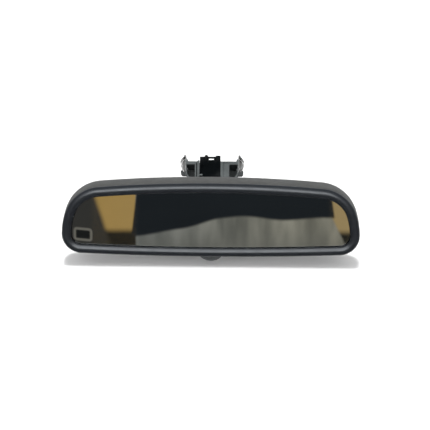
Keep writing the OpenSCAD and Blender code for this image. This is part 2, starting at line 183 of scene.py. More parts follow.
def plastic(name, c, rough=0.42, grain=3200.0, grain_amt=0.25, grain_d=0.00005, spread=0.25, wear=0.5, mottle=160.0, spec=0.5, ends=None):
    """Moulded plastic: cloudy base colour, fine spark-eroded grain, edges rubbed lighter, a few soft smears in the gloss."""
    m = Mat(name)
    m.set(Specular_IOR_Level=spec)
    lo = tuple(x * (1 - spread) for x in c)
    hi = tuple(min(1, x * (1 + spread)) for x in c)
    cloud = m.ramp(m.noise(mottle, 4.0, 0.6), (0.3, lo), (0.7, hi))
    fleck = m.ramp(m.noise(grain * 0.6, 2.0), (0.45, 0.0), (0.75, 1.0))
    base = m.mix(m.math("MULTIPLY", fleck, 0.35), cloud, tuple(min(1, x * 1.5 + 0.004) for x in c))
    scuff = m.math("MULTIPLY", m.edge(), m.ramp(m.noise(420.0, 5.0, 0.7), (0.35, 0.15), (0.65, 1.0)))
    base = m.mix(m.math("MULTIPLY", scuff, wear), base, tuple(min(1, x * 2.4 + 0.02) for x in c))
    if ends:
        # painted shade and grime: a darker, duller tone beyond a distance from the middle
        sep = m.t.nodes.new("ShaderNodeSeparateXYZ")
        m.t.links.new(m.co, sep.inputs[0])
        far = m.math("GREATER_THAN", m.math("ABSOLUTE", sep.outputs[0]), ends[0])
        base = m.mix(m.math("MULTIPLY", far, ends[1]), base, (0.012, 0.013, 0.013))
    m.col(base)
    r = m.ramp(m.noise(70.0, 5.0, 0.65), (0.3, max(0.05, rough - 0.07)), (0.7, min(1, rough + 0.09)))
    m.rough(r)
    m.bump(m.noise(grain, 2.0, 0.55), grain_amt, grain_d)
    m.bump(m.voronoi(grain * 0.35), grain_amt * 0.5, grain_d)
    return m


def metal(name, c, rough=0.32, stretch=None, scale=900.0, wear=0.4, dark=0.45):
    """Bare metal: streaks along the grain, tarnish clouds, brighter rubbed edges."""
    m = Mat(name)
    m.set(Metallic=1.0)
    cloud = m.ramp(m.noise(220.0, 5.0, 0.65), (0.3, tuple(x * (1 - dark) for x in c)), (0.65, c))
    streak = m.noise(scale, 3.0, 0.6, stretch)
    base = m.mix(m.math("MULTIPLY", m.ramp(streak, (0.4, 0.0), (0.6, 1.0)), 0.25), cloud, tuple(x * 0.7 for x in c))
    base = m.mix(m.math("MULTIPLY", m.edge(), wear), base, tuple(min(1, x * 1.35 + 0.05) for x in c))
    m.col(base)
    m.rough(m.ramp(streak, (0.3, max(0.05, rough - 0.1)), (0.7, rough + 0.14)))
    m.bump(streak, 0.2, 0.00003)
    return m


M = {}
M["bezel"] = plastic("bezel_black", (0.0100, 0.0122, 0.0155), rough=0.41, grain=4200, grain_amt=0.12, spread=0.12, wear=0.25, spec=0.5)
M["housing"] = plastic("housing_charcoal", (0.060, 0.061, 0.058), rough=0.55, grain=2300, grain_amt=0.5, grain_d=0.00007, spread=0.16, wear=0.35)
M["lever"] = plastic("lever_black", (0.092, 0.098, 0.098), rough=0.42, grain=2800, grain_amt=0.3, wear=0.5)
# the bracket's ends beyond 23.3 mm from the middle are painted darker, as shade and grime
M["bracket"] = plastic("bracket_grey", (0.066, 0.074, 0.074), rough=0.48, grain=2600, grain_amt=0.3, spread=0.14, wear=0.45, spec=0.12, ends=(0.0233, 0.75))
M["connector"] = plastic("connector_black", (0.0016, 0.0024, 0.0028), rough=0.45, grain=4200, grain_amt=0.15, wear=0.45, spec=0.005)
M["socket"] = plastic("socket_black", (0.02, 0.02, 0.021), rough=0.5, grain=2400, grain_amt=0.35, wear=0.45)
M["frame"] = plastic("frame_black", (0.016, 0.016, 0.017), rough=0.55, grain=2400, grain_amt=0.3, wear=0.3)
M["acetal"] = plastic("cup_acetal", (0.62, 0.60, 0.54), rough=0.38, grain=2600, grain_amt=0.1, spread=0.05, wear=0.1)
M["chip"] = plastic("component_black", (0.012, 0.012, 0.013), rough=0.5, grain=5000, grain_amt=0.15)
M["arm"] = plastic("arm_black", (0.016, 0.016, 0.017), rough=0.38, grain=1500, grain_amt=0.35, grain_d=0.0001, wear=0.6)
M["steel"] = metal("screw_steel", (0.50, 0.50, 0.50), rough=0.3, stretch=(1, 1, 12))
M["ball"] = metal("ball_steel", (0.58, 0.58, 0.59), rough=0.2, stretch=(1, 14, 1), dark=0.3)
M["clip"] = metal("clip_steel", (0.085, 0.082, 0.078), rough=0.46, stretch=(1, 18, 1), scale=1400, dark=0.4, wear=0.7)
M["spring"] = metal("spring_steel", (0.42, 0.42, 0.42), rough=0.33, stretch=(14, 1, 1))
M["pin"] = metal("pin_steel", (0.55, 0.55, 0.56), rough=0.22, stretch=(1, 14, 14))
M["rivet"] = metal("rivet_metal", (0.16, 0.16, 0.16), rough=0.45)
M["brass"] = metal("terminal_brass", (0.66, 0.50, 0.27), rough=0.28)


def board_material():
    m = Mat("board_green")
    m.set(Specular_IOR_Level=0.6)
    weave = m.noise(1500.0, 2.0, 0.5, (1, 1, 0.2))
    m.col(m.ramp(weave, (0.4, (0.006, 0.05, 0.02)), (0.6, (0.012, 0.085, 0.034))))
    m.rough(m.ramp(m.noise(90.0, 4.0), (0.3, 0.2), (0.7, 0.34)))
    m.bump(weave, 0.25, 0.00003)
    return m


def lens_material(name, c, trans):
    m = Mat(name)
    m.set(Transmission_Weight=trans, IOR=1.5)
    m.col(m.ramp(m.noise(500.0, 3.0), (0.35, tuple(x * 0.75 for x in c)), (0.65, c)))
    m.rough(m.ramp(m.noise(900.0, 3.0), (0.35, 0.05), (0.7, 0.14)))
    m.bump(m.noise(1600.0, 2.0), 0.1, 0.00003)
    return m


def foam_material():
    m = Mat("foam_dark")
    cell = m.voronoi(2600.0)
    # painted shade: the sunken pits of the cells are darker than the cell walls
    m.col(m.ramp(cell, (0.0, (0.006, 0.006, 0.006)), (0.6, (0.035, 0.035, 0.036))))
    m.rough(m.ramp(cell, (0.0, 0.95), (0.6, 0.8)))
    m.bump(cell, 0.8, 0.0002)
    return m


def glass_material():
    m = Mat("glass_clear")
    m.set(Transmission_Weight=1.0, IOR=1.52, Specular_IOR_Level=0.5)
    m.col(m.ramp(m.noise(9.0, 3.0), (0.3, (0.955, 0.97, 0.958)), (0.7, (0.975, 0.985, 0.975))))
    # fingerprints and wiping haze, hardly there
    haze = m.noise(30.0, 6.0, 0.7, (1.0, 1.0, 2.5))
    m.rough(m.ramp(haze, (0.5, 0.0), (0.85, 0.02)))
    return m


def mirror_material():
    m = Mat("mirror_coat")
    m.set(Metallic=1.0)
    m.col(m.ramp(m.noise(14.0, 3.0), (0.3, (0.80, 0.80, 0.78)), (0.7, (0.84, 0.84, 0.825))))
    m.rough(m.ramp(m.noise(40.0, 4.0), (0.4, 0.004), (0.8, 0.012)))
    return m


M["board"] = board_material()
M["led"] = lens_material("led_red", (0.55, 0.02, 0.015), 0.35)
M["lens"] = lens_material("lens_red", (0.45, 0.015, 0.012), 0.5)
M["foam"] = foam_material()
M["glass"] = glass_material()
M["mirror"] = mirror_material()


# ------------------------------------------------------------------ mesh helpers
def hp(x, y, z):
    """A point of the head, in mm, as a row-frame vector in metres."""
    return Vector((x + HEAD[0], y + HEAD[1], z + HEAD[2])) * 0.001


FOOT = Matrix.Rotation(-RAKE, 4, "X")


def fp(x, y, z):
    """A point of the foot, in mm, as a row-frame vector in metres."""
    return FOOT @ (Vector((x, y, z)) * 0.001)


def make(name, verts, faces, mat, body, nodes=(), sharp=None, smooth=True):
    me = bpy.data.meshes.new(name)
    me.from_pydata([tuple(v) for v in verts], [], [tuple(f) for f in faces])
    bm = bmesh.new()
    bm.from_mesh(me)
    bmesh.ops.remove_doubles(bm, verts=bm.verts, dist=1e-7)
    bmesh.ops.recalc_face_normals(bm, faces=bm.faces)
    bm.to_mesh(me)
    bm.free()
    o = bpy.data.objects.new(name, me)
    bpy.context.scene.collection.objects.link(o)
    finish_piece(o, mat, body, nodes, sharp, smooth)
    return o


def finish_piece(o, mat, body, nodes=(), sharp=None, smooth=True):
    me = o.data
    me.materials.clear()
    me.materials.append(mat.m)
    for p in me.polygons:
        p.use_smooth = smooth
    if sharp is not None:
        me.set_sharp_from_angle(angle=math.radians(sharp))
    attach(o, body)
    if nodes:
        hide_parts(*nodes)


def modifier(o, kind, **kw):
    md = o.modifiers.new(kind.lower(), kind)
    for k, v in kw.items():
        setattr(md, k, v)
    return md


def bake(o):
    """Apply every modifier on o."""
    dg = bpy.context.evaluated_depsgraph_get()
    me = bpy.data.meshes.new_from_object(o.evaluated_get(dg))
    o.modifiers.clear()
    old = o.data
    o.data = me
    bpy.data.meshes.remove(old)


def crom(points, n):
    """Catmull-Rom curve through points, n steps between each pair."""
    out = []
    m = len(points)
    for i in range(m - 1):
        p0 = points[max(i - 1, 0)]
        p1, p2 = points[i], points[i + 1]
        p3 = points[min(i + 2, m - 1)]
        for k in range(n):
            t = k / n
            out.append(tuple(0.5 * (2 * b + (c - a) * t + (2 * a - 5 * b + 4 * c - d) * t * t + (3 * b - a - 3 * c + d) * t ** 3)
                             for a, b, c, d in zip(p0, p1, p2, p3)))
    out.append(tuple(points[-1]))
    return out


# ------------------------------------------------------------------ the head's outline
HEAD_W, TOP_TURN, TOP_R, SIDE_R, LOW_R, LOW_TURN, A2, A3 = 247.0, 4.8, 32.0, 62.0, 16.5, 2.4, 19.8, 2.0


def outline(counts=(34, 22, 14, 22, 30)):
    rad = math.radians
    x_side = TOP_R * (cos(rad(A2)) - sin(rad(TOP_TURN))) + SIDE_R * (1 - cos(rad(A2)))
    big = (HEAD_W / 2 - x_side) / sin(rad(TOP_TURN))
    pts = [(0.0, 0.0, 90.0)]

    def arc(a, b, r, n):
        x0, z0, _ = pts[-1]
        for k in range(1, n + 1):
            t = a + (b - a) * k / n
            pts.append((x0 + r * (cos(rad(t)) - cos(rad(a))), z0 - r * (sin(rad(a)) - sin(rad(t))), t))

    arc(90, 90 - TOP_TURN, big, counts[0])
    arc(90 - TOP_TURN, A2, TOP_R, counts[1])
    arc(A2, A3, SIDE_R, counts[2])
    arc(A3, -90 + LOW_TURN, LOW_R, counts[3])
    low = pts[-1][0] / sin(rad(LOW_TURN))
    # the lower edge has a row of points at the lever slot's two ends
    n = counts[4]
    x_end = pts[-1][0]
    t_slot = math.degrees(math.asin(SLOT_X / low))
    x0, z0, _ = pts[-1]
    a = -90 + LOW_TURN
    for k in list(range(1, n + 1)):
        t = a + (-90 + t_slot - a) * k / n
        pts.append((x0 + low * (cos(rad(t)) - cos(rad(a))), z0 - low * (sin(rad(a)) - sin(rad(t))), t))
    for k in range(1, 7):
        t = -90 + t_slot * (1 - k / 6)
        pts.append((x0 + low * (cos(rad(t)) - cos(rad(a))), z0 - low * (sin(rad(a)) - sin(rad(t))), t))
    h = -pts[-1][1]
    right = [(x, z + h / 2, t) for x, z, t in pts]
    left = [(-x, z, 180 - t) for x, z, t in right[-2:0:-1]]
    return right + left, len(right)


SLOT_X = 11.0
RING, NRIGHT = outline()
NR = len(RING)


def ring_at(d, y):
    return [hp(x - d * cos(math.radians(t)), y, z - d * sin(math.radians(t))) for x, z, t in RING]


def loft_rings(rings, closed=False):
    n = len(rings[0])
    verts = [v for r in rings for v in r]
    faces = []
    last = len(rings) if closed else len(rings) - 1
    for i in range(last):
        a, b = i * n, ((i + 1) % len(rings)) * n
        for j in range(n):
            k = (j + 1) % n
            faces.append((a + j, b + j, b + k, a + k))
    return verts, faces


# ------------------------------------------------------------------ bezel
def build_bezel():
    bead = crom([(0.04, 5.2), (0.10, 4.3), (0.32, 3.25), (0.85, 2.15), (1.85, 1.02), (2.95, 0.34), (3.9, 0.06), (4.7, 0.10), (5.4, 0.38), (6.1, 0.84), (6.8, 1.36), (7.35, 1.88), (7.76, 2.48), (7.95, 3.05)], 5)
    prof = [(0.75, 6.36), (0.42, 6.30), (0.16, 6.02)] + bead + [(7.97, 3.3), (7.92, 3.43), (5.62, 3.45), (5.62, 10.30), (5.50, 10.38), (3.05, 10.38), (2.92, 10.28), (2.92, 6.40)]
    rings = [ring_at(d, y) for d, y in prof]
    v, f = loft_rings(rings, closed=True)
    return make("bezel_ring", v, f, M["bezel"], "head", ("bezel",), sharp=50)


bezel = build_bezel()


# ------------------------------------------------------------------ rear housing
def build_housing():
    prof = crom([(1.75, 7.35), (1.05, 7.25), (0.55, 7.45), (0.22, 8.0), (0.06, 8.6), (-0.26, 10.4), (-0.56, 13.2), (-0.73, 16.5), (-0.74, 20.5), (-0.10, 24.9), (0.62, 27.2), (1.55, 29.3), (2.95, 31.3), (4.5, 32.7), (6.5, 34.05), (9.0, 35.2), (11.8, 36.0), (14.4, 36.45)], 3)
    rows = [(d, y) for d, y in prof]
    # rows that bound the lever slot
    def snap(target):
        i = min(range(len(rows)), key=lambda k: abs(rows[k][1] - target))
        rows[i] = (rows[i][0], target)
        return i
    lo, hi = snap(8.6), snap(20.5)
    rings = [ring_at(d, y) for d, y in rows]
    # the back: from the last outline ring to the round opening
    last = rings[-1]
    R0, n = 14.9, len(last)
    centre = hp(0, 36.9, 0)
    circle = []
    for v in last:
        dx, dz = v.x - centre.x, v.z - centre.z
        # each point's offset from the centre of the opening
        circle.append((dx, dz))
    # arc length round the last ring
    per = [0.0]
    for i in range(n):
        a, b = last[i], last[(i + 1) % n]
        per.append(per[-1] + math.hypot(b.x - a.x, b.z - a.z))
    ang = []
    for i, (dx, dz) in enumerate(circle):
        true = math.atan2(dz, dx)
        ang.append(true)
    steps = 12
    for s in range(1, steps + 1):
        t = s / steps
        row = []
        for i, v in enumerate(last):
            dx, dz = circle[i]
            # squeeze the wide oval to a circle by scaling x and z separately, eased
            a = math.atan2(dz / 0.022, dx / 0.105)
            tx, tz = R0 * 0.001 * cos(a), R0 * 0.001 * sin(a)
            w = t
            x = dx * (1 - w) + tx * w
            z = dz * (1 - w) + tz * w
            y = (36.45 + 0.5 * (1 - (1 - t) ** 2)) * 0.001 + HEAD[1] * 0.001
            row.append(Vector((x + centre.x, y, z + centre.z)))
        rings.append(row)
    # rolled lip of the opening
    lip = []
    for r, y in ((14.75, 36.93), (14.6, 36.8), (14.52, 36.55)):
        lip.append([Vector((centre.x + (p.x - centre.x) * r / R0, (y + HEAD[1]) * 0.001, centre.z + (p.z - centre.z) * r / R0)) for p in rings[-1]])
    rings += lip
    v, f = loft_rings(rings)
    # open the lever slot: drop the faces between its rows and between x -9.7 and 9.7 on the lower edge
    keep = []
    low = HEAD[2] * 0.001 - 0.024
    for face in f:
        c = sum((v[i] for i in face), Vector()) / 4
        if c.z < low and abs(c.x) < SLOT_X * 0.001 and rows[lo][1] < c.y * 1000 - HEAD[1] < rows[hi][1]:
            continue
        keep.append(face)
    o = make("rear_shell", v, keep, M["housing"], "head", ("rear_housing",), sharp=None)
    # outward normals, then a wall of even thickness
    me = o.data
    bm = bmesh.new()
    bm.from_mesh(me)
    bmesh.ops.recalc_face_normals(bm, faces=bm.faces)
    c = Vector((0, (HEAD[1] + 15) * 0.001, HEAD[2] * 0.001))
    s = sum((p.normal.dot(p.calc_center_median() - c) * p.calc_area() for p in bm.faces))
    if s < 0:
        bmesh.ops.reverse_faces(bm, faces=bm.faces)
    bm.to_mesh(me)
    bm.free()
    modifier(o, "SOLIDIFY", thickness=0.0019, offset=-1.0, use_even_offset=False, use_quality_normals=True)
    bv = modifier(o, "BEVEL", width=0.00035, segments=2, limit_method="ANGLE", angle_limit=math.radians(50), harden_normals=False)
    bake(o)
    o.data.materials.clear()
    o.data.materials.append(M["housing"].m)
    for p in o.data.polygons:
        p.use_smooth = True
    o.data.set_sharp_from_angle(angle=math.radians(45))
    return o


housing = build_housing()


# ------------------------------------------------------------------ lever
def lathe_x(cy, cz, prof, n=40):
    """Rings round an axis along x at (cy, cz); prof is [(x, r)], closed on itself when it is a tube."""
    return [[hp(x, cy + r * cos(2 * pi * k / n), cz + r * sin(2 * pi * k / n)) for k in range(n)] for x, r in prof]


def rounded_box(x, y0, y1, z0, z1, r, turn=0.0, pivot=(0, 0)):
    """A box with every edge drawn in by r, as rings stacked along z; turned about x at the pivot."""
    def ring(k, z):
        hx, ya, yb = x - k, y0 + k, y1 - k
        pts = []
        for cx, cy, a0 in ((hx - r, yb - r, 0), (-hx + r, yb - r, 90), (-hx + r, ya + r, 180), (hx - r, ya + r, 270)):
            for i in range(5):
                t = math.radians(a0 + 22.5 * i)
                pts.append((cx + r * cos(t), cy + r * sin(t)))
        out = []
        c, s_ = cos(math.radians(turn)), sin(math.radians(turn))
        for px, py in pts:
            dy, dz = py - pivot[0], z - pivot[1]
            out.append(hp(px, pivot[0] + dy * c - dz * s_, pivot[1] + dy * s_ + dz * c))
        return out
    return plate([ring(r, z0), ring(r * 0.3, z0 + r * 0.3), ring(0, z0 + r), ring(0, z1 - r), ring(r * 0.3, z1 - r * 0.3), ring(r, z1)])


def plate(rings):
    v, f = loft_rings(rings)
    n = len(rings[0])
    f.append(tuple(range(n)))
    f.append(tuple(reversed(range(len(v) - n, len(v)))))
    return v, f


def build_lever():
    """Half-round finger tab with a dished face and a rolled rim, its neck, the boss on the pin, and the crank with its nose."""
    R, W, C, T = 13.22, 10.25, 2.5, 2.55
    base = Matrix.Translation(Vector((HEAD[0], 17 - 0.4 + HEAD[1], -28.3 + HEAD[2])) * 0.001) @ Matrix.Rotation(math.radians(-9), 4, "X")

    def loop(k):
        # k: how far the outline is drawn in, mm
        r, w = R - k, W - k
        a0 = math.degrees(math.acos(w / r))
        pts = [(-4.95 + k * 0.4, 0.6 - k * 0.6), (4.95 - k * 0.4, 0.6 - k * 0.6), (5.1 - k * 0.4, -1.7 - k * 0.5), (8.2 - k * 0.6, -2.4 - k * 0.7), (w, -3.8 - k * 0.5)]
        pts += [(r * cos(math.radians(-a0 - (180 - 2 * a0) * i / 40)), C + r * sin(math.radians(-a0 - (180 - 2 * a0) * i / 40))) for i in range(41)]
        pts += [(-w, -3.8 - k * 0.5), (-8.2 + k * 0.6, -2.4 - k * 0.7), (-5.1 + k * 0.4, -1.7 - k * 0.5)]
        return pts

    # (draw-in, y) from the front dish round the rim to the back
    section = [(2.5, -T / 2 + 0.50), (2.1, -T / 2 + 0.44), (1.75, -T / 2 + 0.26), (1.4, -T / 2 + 0.08), (1.05, -T / 2), (0.7, -T / 2 + 0.04), (0.35, -T / 2 + 0.24), (0.1, -T / 2 + 0.58), (0.0, -T / 2 + 1.0),
               (0.0, T / 2 - 0.8), (0.1, T / 2 - 0.45), (0.4, T / 2 - 0.12), (0.8, T / 2)]
    v, f = plate([[base @ Vector((x * 0.001, y * 0.001, z * 0.001)) for x, z in loop(k)] for k, y in section])
    tab = make("finger_lever", v, f, M["lever"], "lever")
    swing = math.degrees(math.asin((17 + 19) * sin(math.radians(2.25)) / 5.8))
    ny, nz = 17 - 5.8 * sin(math.radians(swing)), -24.6 + 5.8 * cos(math.radians(swing))
    solids = [rounded_box(5.1, 15.35, 17.65, -30.1, -24.2, 0.35),
              plate(lathe_x(17, -24.6, [(-5.35, 2.3), (-5.3, 2.5), (-5.1, 2.75), (5.1, 2.75), (5.3, 2.5), (5.35, 2.3)])),
              rounded_box(4.1, 16.05, 17.95, -24.6, -24.6 + 5.9, 0.3, swing, (17, -24.6)),
              plate(lathe_x(ny, nz, [(-4.3, 1.05), (-4.25, 1.2), (-4.05, 1.4), (4.05, 1.4), (4.25, 1.2), (4.3, 1.05)], 32))]
    # two grip bars on the dished face
    for zc, half in ((-5.0, 5.9), (-7.0, 4.6)):
        rings = []
        for i in range(13):
            t = -1 + 2 * i / 12
            h = 0.36 * max(0.12, (1 - t ** 6) ** 0.5)
            rings.append([base @ (Vector((t * half, -T / 2 + 0.52 - h * sin(a), zc + 1.3 * h * cos(a))) * 0.001) for a in [2 * pi * q / 16 for q in range(16)]])
        solids.append(plate(rings))
    tools = []
    for v, f in solids:
        o = make("tool_tmp", v, f, M["lever"], "lever")
        tools.append(o)
        modifier(tab, "BOOLEAN", operation="UNION", object=o, solver="EXACT")
    v, f = plate(lathe_x(17, -24.6, [(-7, 1.33), (7, 1.33)], 32))
    o = make("tool_tmp", v, f, M["lever"], "lever")
    tools.append(o)
    modifier(tab, "BOOLEAN", operation="DIFFERENCE", object=o, solver="EXACT")
    bake(tab)
    for o in tools:
        bpy.data.objects.remove(o)
    finish_piece(tab, M["lever"], "lever", ("day_night_lever",), sharp=40)
    return tab


lever = build_lever()


# ------------------------------------------------------------------ glass wedge and its silvering
WEDGE, GLASS_T, GLASS_Y = 3.7, 3.95, 3.5


def wedge_ring(d, off):
    """The outline drawn in by d, on the plane that lies off behind the wedge's back face."""
    out = []
    for x, z, t in RING:
        px, pz = x - d * cos(math.radians(t)), z - d * sin(math.radians(t))
        out.append(hp(px, GLASS_Y + GLASS_T + off + pz * math.tan(math.radians(WEDGE)), pz))
    return out


v, f = plate([ring_at(6.25, GLASS_Y), ring_at(6.0, GLASS_Y + 0.12), ring_at(5.92, GLASS_Y + 0.4), wedge_ring(5.92, -0.4), wedge_ring(6.0, -0.12), wedge_ring(6.25, 0)])
glass = make("glass_wedge", v, f, M["glass"], "head", ("prism_glass",), smooth=False)
v, f = plate([wedge_ring(6.35, -0.02), wedge_ring(6.35, 0.2), wedge_ring(6.45, 0.245)])
silver = make("silvering", v, f, M["mirror"], "head", ("reflective_coating",), smooth=False)


# ------------------------------------------------------------------ arm: a cast bar from the foot's pad, bending back to the ball's neck
def f2h(x, y, z):
    """A foot point as head coordinates, in mm."""
    p = fp(x, y, z) * 1000
    return (p.x - HEAD[0], p.y - HEAD[1], p.z - HEAD[2])


def build_arm():
    a0 = f2h(0, -1.75, -18.2)
    a1 = f2h(0, -1.9, -21.0)
    a2 = f2h(0, -2.4, -25.0)
    # (centre y, centre z, half width, half height, squareness)
    keys = [(a0[1], a0[2], 11.6, 7.0, 3.4), (a1[1], a1[2], 9.6, 6.4, 3.0), (a2[1] - 0.6, a2[2] + 0.6, 8.4, 6.7, 2.6),
            (60.2, 0.75, 7.8, 7.2, 2.3), (55.0, 0.15, 7.3, 7.1, 2.1), (49.5, 0.0, 6.7, 6.7, 2.0), (44.5, 0.0, 6.25, 6.25, 2.0), (41.8, 0.0, 6.1, 6.1, 2.0)]
    path = crom(keys, 7)
    n = 56
    rings = []
    for i, (y, z, hw, hh, sq) in enumerate(path):
        a, b = path[max(i - 1, 0)], path[min(i + 1, len(path) - 1)]
        dy, dz = b[0] - a[0], b[1] - a[1]
        ln = math.hypot(dy, dz)
        uy, uz = -dz / ln, dy / ln        # across the bar, in the mid plane
        row = []
        for k in range(n):
            t = 2 * pi * k / n
            c, s_ = cos(t), sin(t)
            px = math.copysign(abs(c) ** (2 / sq), c) * hw
            pu = math.copysign(abs(s_) ** (2 / sq), s_) * hh
            row.append(hp(px, y + uy * pu, z + uz * pu))
        rings.append(row)
    # turned shoulder at the neck
    for r, y in ((5.85, 41.25), (5.3, 41.0), (4.4, 41.0), (3.4, 41.05)):
        rings.append([hp(cos(2 * pi * k / n) * r, y, 0 + (1 if rings[-1][n // 4].z > rings[-1][3 * n // 4].z else -1) * sin(2 * pi * k / n) * r) for k in range(n)])
    v, f = plate(rings)
    bar = make("arm_bar_tmp", v, f, M["arm"], "foot")
    # pad with rounded corners under the foot
    pv = []
    def rrect(hx, hy, r, z, cy=-1.75, seg=6):
        pts = []
        for cx, cyy, a0_ in ((hx - r, hy - r, 0), (-hx + r, hy - r, 90), (-hx + r, -hy + r, 180), (hx - r, -hy + r, 270)):
            for k in range(seg + 1):
                t = math.radians(a0_ + 90 * k / seg)
                pts.append(fp(cx + r * cos(t), cy + cyy + r * sin(t), z))
        return pts
    v, f = plate([rrect(16.1, 6.85, 2.6, -16.03), rrect(16.45, 7.2, 3.0, -16.4), rrect(16.45, 7.2, 3.0, -19.3), rrect(16.1, 6.85, 2.6, -19.85), rrect(15.6, 6.35, 2.2, -20.0)])
    pad = make("arm_pad_tmp", v, f, M["arm"], "foot")
    bpy.ops.object.select_all(action="DESELECT")
    pad.select_set(True)
    bar.select_set(True)
    bpy.context.view_layer.objects.active = bar
    bpy.ops.object.join()
    bar.name = "cast_arm"
    modifier(bar, "REMESH", mode="VOXEL", voxel_size=0.00042, adaptivity=0)
    modifier(bar, "SMOOTH", factor=0.6, iterations=7)
    # screw holes, cut after the casting's fillets
    cutters = []
    for s_ in (-1, 1):
        n2 = 32
        rr = []
        for r, z in ((2.1, -14), (2.1, -19.6), (2.35, -20.05), (3.3, -20.25), (3.3, -24)):
            rr.append([fp(s_ * 12.6 + r * cos(2 * pi * k / n2), -1 + r * sin(2 * pi * k / n2), z) for k in range(n2)])
        v, f = plate(rr)
        c = make("cut_tmp", v, f, M["arm"], "foot")
        cutters.append(c)
        modifier(bar, "BOOLEAN", operation="DIFFERENCE", object=c, solver="EXACT")
    # bore for the ball's neck
    n2 = 40
    v, f = plate([[hp(3.24 * cos(2 * pi * k / n2), y, 3.24 * sin(2 * pi * k / n2)) for k in range(n2)] for y in (38, 50.1)])
    c = make("cut_tmp", v, f, M["arm"], "foot")
    cutters.append(c)
    modifier(bar, "BOOLEAN", operation="DIFFERENCE", object=c, solver="EXACT")
    bake(bar)
    for c in cutters:
        bpy.data.objects.remove(c)
    finish_piece(bar, M["arm"], "foot", ("stem_arm",), sharp=38)
    return bar


arm = build_arm()


# ------------------------------------------------------------------ spring leaves: bowed strip with a window, rolled at the eye
def build_leaf(side):
    eye = (23.75, 6.1)
    line = crom([(24.35, 5.62), (24.95, 5.2), (25.75, 4.4), (26.8, 3.0), (27.45, 1.3), (27.3, -0.8), (26.65, -2.9), (25.98, -4.8), (25.6, -5.8), (25.6, -6.25)], 5)
    # the roll round the eye
    roll = []
    for k in range(22):
        a = math.radians(-38 - 300 + 300 * k / 21)
        roll.append((eye[0] + 0.36 * cos(a), eye[1] + 0.36 * sin(a)))
    pts = roll[:-1] + line
    T = 0.5
    y0, y1 = -12.7, -5.3
    n = len(pts)

    def normal(i):
        a, b = pts[max(i - 1, 0)], pts[min(i + 1, n - 1)]
        dx, dz = b[0] - a[0], b[1] - a[1]
        ln = math.hypot(dx, dz) or 1
        return -dz / ln, dx / ln

    cols = [0, 0.06, 0.3, 0.38, 0.62, 0.7, 0.94, 1]
    verts, faces = [], []
    for sgn in (1, -1):
        for i, (x, z) in enumerate(pts):
            nx, nz = normal(i)
            thick = (T / 2) * (0.45 if i < 21 else 1.0)
            # the free end narrows
            tail = max(0.0, (i - (n - 9)) / 8)
            for c in cols:
                y = y0 + (y1 - y0) * c
                mid = (y0 + y1) / 2
                y = mid + (y - mid) * (1 - 0.22 * tail * tail)
                verts.append(fp(side * (x + nx * thick * sgn), y, z + nz * thick * sgn))
    w = len(cols)
    off = n * w
    hole = lambda i, j: 29 <= i < 50 and 2 <= j < 5
    for i in range(n - 1):
        for j in range(w - 1):
            if hole(i, j):
                continue
            a, b, c, d = i * w + j, i * w + j + 1, (i + 1) * w + j + 1, (i + 1) * w + j
            faces.append((a, b, c, d))
            faces.append((off + a, off + d, off + c, off + b))
            for (p, q), (ii, jj) in (((a, b), (i - 1, j)), ((c, d), (i + 1, j)), ((d, a), (i, j - 1)), ((b, c), (i, j + 1))):
                out = ii < 0 or ii >= n - 1 or jj < 0 or jj >= w - 1
                if out or hole(ii, jj):
                    faces.append((q, p, off + p, off + q))
    name = "left" if side < 0 else "right"
    return make("spring_leaf_" + name, verts, faces, M["clip"], "clip_" + name, (name + "_clip_leaf",), sharp=45)


leaf_l, leaf_r = build_leaf(-1), build_leaf(1)


# ------------------------------------------------------------------ carried-over nodes: clean faces, softened edges, own materials
def dress(node, mat, bevel=0.15, sharp=35, seg=2):
    o = NODES[node]
    for s in o.material_slots:
        s.material = mat.m
    if not o.material_slots:
        o.data.materials.append(mat.m)
    for p in o.data.polygons:
        p.use_smooth = True
    o.data.set_sharp_from_angle(angle=math.radians(sharp))
    if bevel:
        modifier(o, "DECIMATE", decimate_type="DISSOLVE", angle_limit=math.radians(0.4))
        modifier(o, "BEVEL", width=bevel * 0.001, segments=seg, limit_method="ANGLE", angle_limit=math.radians(40), harden_normals=True)
    return o


dress("foot_bracket", M["bracket"], 0.28, seg=3)
dress("ball_stud", M["ball"], 0)
dress("stem_screws", M["steel"], 0.12)
dress("connector_housing", M["connector"], 0.18)
dress("connector_terminals", M["brass"], 0.06)
dress("led_board", M["board"], 0.08)
dress("board_components", M["chip"], 0.08)
dress("status_led", M["led"], 0)
dress("led_lens", M["lens"], 0)
dress("left_clip_plate", M["clip"], 0.1)
dress("right_clip_plate", M["clip"], 0.1)
dress("clip_rivets", M["rivet"], 0.12)
dress("ball_cup_rear", M["acetal"], 0)
dress("ball_cup_front", M["acetal"], 0)
dress("toggle_bracket", M["socket"], 0.12)
dress("socket_clamp", M["socket"], 0.25)
dress("clamp_screws", M["steel"], 0.12)
dress("pressure_spring", M["spring"], 0.1)
dress("inner_frame", M["frame"], 0.2)
dress("foam_pad", M["foam"], 0.15)
dress("frame_screws", M["steel"], 0.12)
dress("flip_hinge_pin", M["pin"], 0.15)
dress("lever_pin", M["pin"], 0.12)
dress("detent_spring", M["spring"], 0.08)

# ------------------------------------------------------------------ floor, reflected cards, light
def stage_plane(name, cx, cy, cz, sx, sy, rot=(0, 0, 0)):
    me = bpy.data.meshes.new(name)
    me.from_pydata([(-sx / 2, -sy / 2, 0), (sx / 2, -sy / 2, 0), (sx / 2, sy / 2, 0), (-sx / 2, sy / 2, 0)], [], [(0, 1, 2, 3)])
    o = bpy.data.objects.new(name, me)
    bpy.context.scene.collection.objects.link(o)
    o.location = (cx, cy, cz)
    o.rotation_euler = rot
    return o


